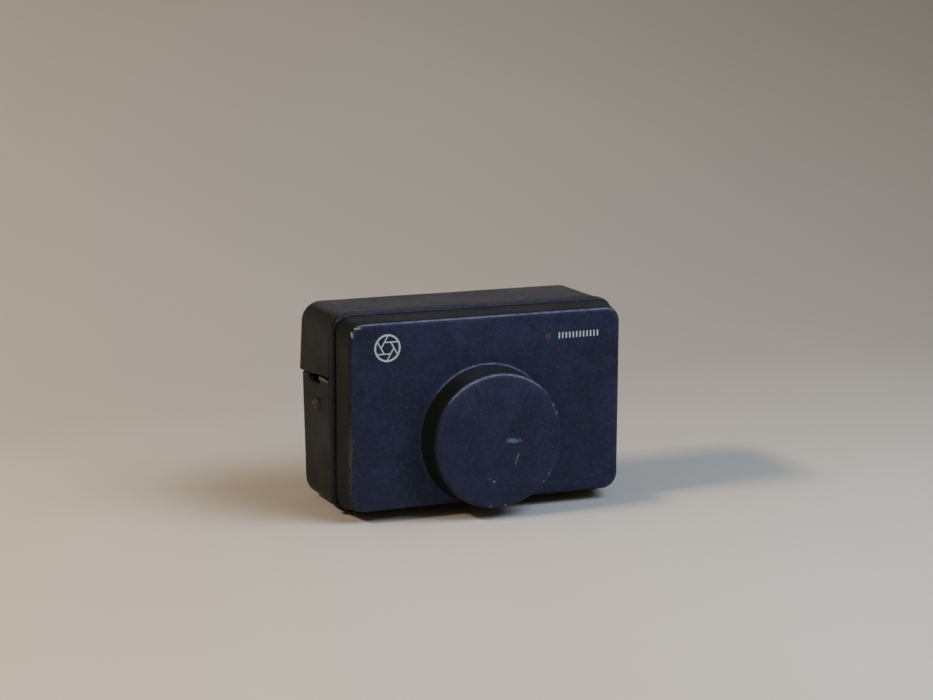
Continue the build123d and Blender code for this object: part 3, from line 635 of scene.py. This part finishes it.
def frayed_cloth(name):
    """Pale backing cloth that shows where the covering has come away."""
    finish = Finish(name, (0.3, 0.28, 0.26), 0.85)
    threads = finish.noise(0.35 * MM, 3, 0.6, finish.stretched((1, 0.3, 1)))
    colour = finish.mix(finish.span(threads, 0.35, 0.65), (0.055, 0.054, 0.053), (0.17, 0.165, 0.16))
    finish.set("Base Color", colour)
    finish.set("Normal", finish.bump(threads, 0.1 * MM))
    finish.set("Roughness", finish.span(threads, 0.3, 0.7, 0.7, 0.95))
    return finish.material


def paper(name, tint):
    """Pale seamless paper with a faint mottle and fibre relief."""
    finish = Finish(name, tint, 0.85, Specular_IOR_Level=0.25)
    cloud = finish.noise(0.30, 3, 0.5)
    speckle = finish.noise(1.2 * MM, 3, 0.6)
    colour = finish.mix(finish.span(cloud, 0.3, 0.7), shaded(tint, 0.96), tint)
    colour = finish.mix(finish.math("MULTIPLY", speckle, 0.10), colour, shaded(tint, 0.8))
    finish.set("Base Color", colour)
    finish.set("Normal", finish.bump(speckle, 0.05 * MM, strength=0.5))
    finish.set("Roughness", finish.span(speckle, 0.3, 0.7, 0.8, 0.92))
    return finish.material


def dress(piece, material):
    """Gives a piece one material."""
    piece.data.materials.clear()
    piece.data.materials.append(material)


def dress_nodes(names, material):
    """Gives CAD nodes a better material through their slots."""
    for name in names:
        for slot in nodes[name].material_slots:
            slot.material = material


# Board shells


def add_rim(piece, direction, reach):
    """Stores where the raw board edge shows: it faces along direction, at that end of the piece."""
    mesh = piece.data
    facing = normals_of(mesh) @ np.array(direction, float)
    along = points_of(mesh) @ np.array(direction, float)
    at_end = step(along, along.max() - reach, along.max() - 0.8 * reach)
    give(mesh, "rim", step(facing, 0.55, 0.85) * at_end)


dome_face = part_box("front_cover_shell")[0].y
dome_low, dome_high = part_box("dome_lining")
dome_x = (dome_low.x + dome_high.x) / 2
dome_z = (dome_low.z + dome_high.z) / 2
SMUDGES = [
    ((2.6 * MM, dome_face, 36.7 * MM), (2.6 * MM, 4 * MM, 1.3 * MM), 4.2, 0.9 * MM, PAINT_BLUE, 0.65),
    ((5.6 * MM, dome_face, 36.3 * MM), (2.2 * MM, 4 * MM, 0.9 * MM), 4.4, 0.8 * MM, PAINT_BLUE, 0.5),
    ((-6 * MM, dome_face, 18.2 * MM), (0.7 * MM, 4 * MM, 0.6 * MM), 1.0, 0.7 * MM, SCUFF, 0.9),
    ((-8.4 * MM, dome_face, 19.5 * MM), (1.3 * MM, 4 * MM, 0.35 * MM), 2.6, 0.8 * MM, SCUFF, 0.3),
    ((-69.8 * MM, -24.8 * MM, 31 * MM), (0.6 * MM, 2 * MM, 14 * MM), 7.0, 0.8 * MM, RUST_EDGE, 0.4),
    ((-69 * MM, -24.6 * MM, 87.8 * MM), (0.4 * MM, 2 * MM, 1.9 * MM), 2.2, 0.8 * MM, EDGE_PALE, 0.75),
    ((-66.4 * MM, -25 * MM, 90.6 * MM), (1.9 * MM, 2 * MM, 0.35 * MM), 2.2, 0.8 * MM, EDGE_PALE, 0.65),
]
SCRATCH = [
    (((6.3 - 0.5 * n) * MM, dome_face, (29.8 - 1.3 * n) * MM), (0.42 * MM, 4 * MM, 1.0 * MM), 2.2, 0.7 * MM,
     SCUFF, 0.5)
    for n in range(4)
]
RIM_FLECKS = [
    ((dome_x + RIM_REACH * math.cos(turn), dome_face + 1.2 * MM, dome_z + RIM_REACH * math.sin(turn)),
     (0.9 * MM, 1.6 * MM, 0.9 * MM), 2.6, 0.8 * MM, SCUFF, 0.7)
    for turn in map(math.radians, (29, 21, -35, -43, -84, -98))
]
FRONT_MARKS = SMUDGES + SCRATCH + RIM_FLECKS
# Painted sheen: soft lighter patches on the front's upper half and above the dome
FRONT_PAINTED_SHEEN = [
    ((-4 * MM, -25.8 * MM, 84 * MM), (62 * MM, 30 * MM, 34 * MM), NAVY_PAINTED_SHEEN, 0.65),
    ((dome_x, dome_face, 62 * MM), (34 * MM, 8 * MM, 22 * MM), NAVY_PAINTED_SHEEN, 0.6),
]

cloth_front = leathercloth("leathercloth_front", NAVY_PAINTED_LIGHT, NAVY_WORN_AND_HIGHLIGHT, WALL_PAINTED_SHADE, NAVY_DUST_AND_SHEEN,
                           marks=FRONT_MARKS, painted_sheen=FRONT_PAINTED_SHEEN)
cloth_body = leathercloth("leathercloth_body", BODY_BLACK, BODY_WORN_AND_HIGHLIGHT, gloss=BODY_GLOSS)
cloth_roll = leathercloth("leathercloth_roll", ROLL_PAINTED_LIGHT, ROLL_WORN_AND_HIGHLIGHT, WALL_PAINTED_SHADE, ROLL_DUST_AND_SHEEN,
                          cell=0.6 * MM, depth=0.06 * MM)

front_skin = skin("front_cover_skin", ["front_cover_shell"], "cover", SHELL_VOXEL,
                  rounds=2, wave=0.05 * MM, seed=1, seam=((0, 1, 0), -SEAM_CLEAR))
add_rim(front_skin, (0, 1, 0), 2 * MM)
add_facing(front_skin)
dress(front_skin, cloth_front)
binding_skin = skin("edge_binding_skin", ["edge_binding"], "cover", 0.4 * MM,
                    rounds=3, wave=0.10 * MM, seed=2,
                    creased=[((-67 * MM, -3.5 * MM, 91 * MM), 13 * MM, 0.5 * MM)])
add_rim(binding_skin, (0, 1, 0), 0.1 * MM)
add_facing(binding_skin)
dress(binding_skin, cloth_roll)
cap_skin = skin("top_cap_skin", ["top_cap_shell"], "cover", SHELL_VOXEL,
                rounds=3, wave=0.16 * MM, seed=3)
add_rim(cap_skin, (0, 0, -1), 4 * MM)
add_facing(cap_skin)
dress(cap_skin, cloth_body)
half_skin = skin("half_case_skin", ["half_case_shell"], "half_case", SHELL_VOXEL,
                 rounds=3, wave=0.16 * MM, seed=4, seam=((0, -1, 0), -SEAM_CLEAR))
add_rim(half_skin, (0, 0, 1), 7 * MM)
add_facing(half_skin)
dress(half_skin, cloth_body)


# Torn ends and a frayed edge


def torn_patch(name, side, seed):
    """Rest of the torn strap, held under the strap rivet's head on one side."""
    low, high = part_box("strap_rivet_left" if side < 0 else "strap_rivet_right")
    head = (low + high) / 2
    wall = (abs(low.x) if side < 0 else high.x) - RIVET_HEAD_HIGH
    form = bmesh.new()
    rings = [[form.verts.new((side * (wall - PATCH_SUNK), head.y, head.z))]]
    for ring in range(1, PATCH_RINGS + 1):
        share = ring / PATCH_RINGS
        angles = [2 * math.pi * n / PATCH_SIDES for n in range(PATCH_SIDES)]
        rings.append([form.verts.new(patch_point(side, seed, wall, head, share, a)) for a in angles])
    for inner, outer in zip(rings, rings[1:]):
        for n in range(PATCH_SIDES):
            after = (n + 1) % PATCH_SIDES
            if len(inner) == 1:
                form.faces.new((inner[0], outer[n], outer[after]))
            else:
                form.faces.new((inner[n], outer[n], outer[after], inner[after]))
    form.faces.new(list(reversed(rings[-1])))
    bmesh.ops.recalc_face_normals(form, faces=form.faces)
    mesh = bpy.data.meshes.new(name)
    form.to_mesh(mesh)
    form.free()
    mesh.shade_smooth()
    patch = new_piece(name, mesh)
    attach(patch, "half_case")
    dress(patch, rusty_leather)


def patch_point(side, seed, wall, head, share, angle):
    """One point of a torn patch: share of the way out from the rivet, at an angle round it."""
    ragged = noise.noise(Vector((math.cos(angle) * 1.9, math.sin(angle) * 1.9, seed)))
    torn = noise.noise(Vector((math.cos(angle) * 6, math.sin(angle) * 6, seed + 4)))
    reach = share * (1 + 0.32 * ragged + 0.22 * torn)
    rough = noise.noise(Vector((math.cos(angle) * reach * 5, math.sin(angle) * reach * 5, seed + 9)))
    bowl = min(1, share / 0.55) ** 4
    high = PATCH_HIGH * bowl * (1 - share ** 6) * (0.75 + 0.6 * rough) - PATCH_SUNK
    return (side * (wall + high), head.y + PATCH_LONG * reach * math.cos(angle),
            head.z - PATCH_DROP + PATCH_TALL * reach * math.sin(angle))


def frayed_edge(name, seed):
    """Strip of backing cloth that has come away along the left top edge of the half case."""
    low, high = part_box("half_case_shell")
    form = bmesh.new()
    rows = []
    for n in range(FRAY_STEPS + 1):
        share = n / FRAY_STEPS
        y = between(FRAY_START, FRAY_END, share)
        body = math.sin(math.pi * min(1, 0.08 + share)) ** 0.6
        ragged = noise.noise(Vector((share * 9, seed, 0)))
        fine = noise.noise(Vector((share * 34, seed, 3)))
        top = high.z - FRAY_TOP_DROP + FRAY_TALL * body * (0.55 + 0.3 * ragged + 0.25 * fine)
        foot = high.z - FRAY_FOOT_DROP + FRAY_FOOT_RISE * noise.noise(Vector((share * 14, seed, 8)))
        row = []
        for k in range(FRAY_ROWS + 1):
            up = k / FRAY_ROWS
            curl = FRAY_CURL * noise.noise(Vector((share * 11, up * 2, seed + 5)))
            x = low.x - (FRAY_GAP + FRAY_LEAN * up + curl * up)
            row.append(form.verts.new((x, y, between(foot, top, up))))
        rows.append(row)
    for first, second in zip(rows, rows[1:]):
        for k in range(FRAY_ROWS):
            form.faces.new((first[k], first[k + 1], second[k + 1], second[k]))
    mesh = bpy.data.meshes.new(name)
    form.to_mesh(mesh)
    form.free()
    cloth = new_piece(name, mesh)
    thick = cloth.modifiers.new("thick", "SOLIDIFY")
    thick.thickness = FRAY_THICK
    thick.offset = 0
    applied(cloth)
    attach(cloth, "half_case")
    dress(cloth, frayed_cloth("frayed_backing"))


rusty_leather = torn_leather("torn_leather")
torn_patch("torn_strap_left", -1, 3.7)
torn_patch("torn_strap_right", 1, 8.1)
frayed_edge("frayed_edge_left", 2.2)


# Linings and pad

brown_velvet = velvet("brown_velvet", (0.022, 0.015, 0.012))
black_felt = felt("black_felt", (0.045, 0.042, 0.042))

for number, (node, body) in enumerate([
    ("half_case_lining", "half_case"), ("front_cover_lining", "cover"),
    ("dome_lining", "cover"), ("top_cap_lining", "cover"),
]):
    lining = skin(node + "_velvet", [node], body, LINING_VOXEL,
                  rounds=2, wave=0.06 * MM, seed=5 + number, keep=0.35)
    dress(lining, brown_velvet)

pad = skin("camera_base_pad_felt", ["camera_base_pad"], "half_case", 0.55 * MM,
           rounds=5, wave=0.2 * MM, seed=10)
dress(pad, black_felt)


# Leathers that cross a joint, each made as one piece across it

black_strap = strap_leather("black_strap_leather", (0.030, 0.026, 0.023))

strip_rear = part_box("hinge_strip_rear")
strip_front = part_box("hinge_strip_front")
strip_gap = (Vector((strip_rear[0].x, strip_front[1].y - BEND_OVERLAP, strip_rear[0].z)),
             Vector((strip_rear[1].x, strip_rear[0].y + BEND_OVERLAP, strip_rear[1].z)))
strip = skin("hinge_strip_leather", ["hinge_strip_rear", "hinge_strip_front"], None,
             LEATHER_VOXEL, rounds=2, wave=0.03 * MM, seed=11, blocks=[strip_gap])
dress(strip, black_strap)
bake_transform(strip)

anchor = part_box("closure_tab_anchor")
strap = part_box("closure_tab_strap")
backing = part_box("closure_tab_backing")
tab_gap = (Vector((strap[0].x, backing[0].y, anchor[1].z - BEND_OVERLAP)),
           Vector((strap[1].x, strap[1].y, strap[0].z + BEND_OVERLAP)))
tab = skin("closing_tab_leather", ["closure_tab_anchor", "closure_tab_strap", "closure_tab_backing"], None,
           LEATHER_VOXEL, rounds=3, wave=0.03 * MM, seed=12, blocks=[tab_gap])
dress(tab, black_strap)
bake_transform(tab)


# Hardware

nickel = plated("old_nickel", (0.60, 0.58, 0.54), (0.33, 0.29, 0.23), low=0.22, high=0.42, pit=0.7)
brass = plated("aged_brass", (0.095, 0.066, 0.042), (0.032, 0.024, 0.017), low=0.42, high=0.68, pit=0.8)
steel = plated("spring_steel", (0.20, 0.21, 0.24), (0.11, 0.10, 0.10), low=0.25, high=0.45, pit=0.5)
dress_nodes(["closure_tab_rivets", "closure_tab_rivet_burrs", "screw_cup", "cup_clamp_ring",
             "camera_screw_head", "camera_screw_shank", "press_stud", "press_stud_eyelet", "stud_socket",
             "stud_cap"], nickel)
dress_nodes(["strap_rivet_left", "strap_rivet_right", "strap_rivet_burr_left", "strap_rivet_burr_right",
             "hinge_rivets_front", "hinge_rivets_rear"], brass)
dress_nodes(["camera_screw_clip", "stud_socket_spring"], steel)
dress_nodes(["joint_band"], fibre("black_fibre", (0.035, 0.03, 0.027)))
# Where the foil is lost, the front's tint shows, with its painted cool light
dress_nodes(["emblem_foil", "mark_row_foil"], foil("white_foil", (0.74, 0.78, 0.84), NAVY_PAINTED_LIGHT, 0.60))
dress_nodes(["red_dot_foil"], foil("red_foil", (0.16, 0.032, 0.030), NAVY_PAINTED_LIGHT, 0.46))


# Stage


def seamless_paper():
    """Floor that sweeps up behind the case."""
    mesh = bpy.data.meshes.new("seamless_paper")
    profile = [(FLOOR_FRONT, 0.0), (SWEEP_START, 0.0)]
    for n in range(1, SWEEP_STEPS + 1):
        angle = SWEEP_ANGLE * n / SWEEP_STEPS
        profile.append((SWEEP_START + SWEEP_RADIUS * math.sin(angle), SWEEP_RADIUS * (1 - math.cos(angle))))
    last_y, last_z = profile[-1]
    rise_y = FLOOR_RISE * math.cos(SWEEP_ANGLE)
    rise_z = FLOOR_RISE * math.sin(SWEEP_ANGLE)
    profile.append((last_y + rise_y, last_z + rise_z))
    rows = [[(side * FLOOR_HALF_WIDTH, y, z) for side in (-1, 1)] for y, z in profile]
    points = [p for row in rows for p in row]
    faces = [(2 * n, 2 * n + 1, 2 * n + 3, 2 * n + 2) for n in range(len(rows) - 1)]
    mesh.from_pydata(points, [], faces)
    mesh.shade_smooth()
    floor = new_piece("seamless_paper", mesh)
    dress(floor, paper("pale_paper", PAPER_GREY))


def soft_light(name, direction, distance, width, height, power, colour, aim=CASE_MIDDLE, spread=180):
    """Rectangular soft light that stands in a direction from the case and looks at aim."""
    light = bpy.data.lights.new(name, "AREA")
    light.shape = "RECTANGLE"
    light.size = width
    light.size_y = height
    light.energy = power
    light.color = colour
    lamp = bpy.data.objects.new(name, light)
    bpy.context.scene.collection.objects.link(lamp)
    light.spread = math.radians(spread)
    lamp.location = CASE_MIDDLE + Vector(direction).normalized() * distance
    lamp.rotation_euler = (lamp.location - Vector(aim)).to_track_quat("Z", "Y").to_euler()


seamless_paper()
soft_light("warm_window", (-0.730, -0.045, 0.682), distance=1.35, width=0.33, height=0.13, power=8.2,
           colour=(1.0, 0.78, 0.58))
soft_light("cool_sky", (0.436, -0.525, 0.731), distance=1.25, width=0.85, height=0.72, power=4.4,
           colour=(0.72, 0.85, 1.0), aim=(0.05, -0.26, 0), spread=115)

world = bpy.data.worlds.new("studio")
bpy.context.scene.world = world
world.use_nodes = True
world.node_tree.nodes["Background"].inputs["Color"].default_value = ROOM_TINT
world.node_tree.nodes["Background"].inputs["Strength"].default_value = ROOM_LIGHT

camera_data = bpy.data.cameras.new("camera")
camera_data.lens = CAMERA_LENS
camera_data.sensor_width = SENSOR_WIDTH
camera = bpy.data.objects.new("camera", camera_data)
bpy.context.scene.collection.objects.link(camera)
back = Vector((
    math.sin(CAMERA_AZIMUTH) * math.cos(CAMERA_ELEVATION),
    -math.cos(CAMERA_AZIMUTH) * math.cos(CAMERA_ELEVATION),
    math.sin(CAMERA_ELEVATION),
))
camera.matrix_world = (
    Matrix.Translation(CAMERA_AIM + CAMERA_DISTANCE * back)
    @ back.to_track_quat("Z", "Y").to_matrix().to_4x4()
    @ Matrix.Rotation(CAMERA_ROLL, 4, "Z")
)
bpy.context.scene.camera = camera
bpy.context.scene.view_settings.view_transform = "Standard"
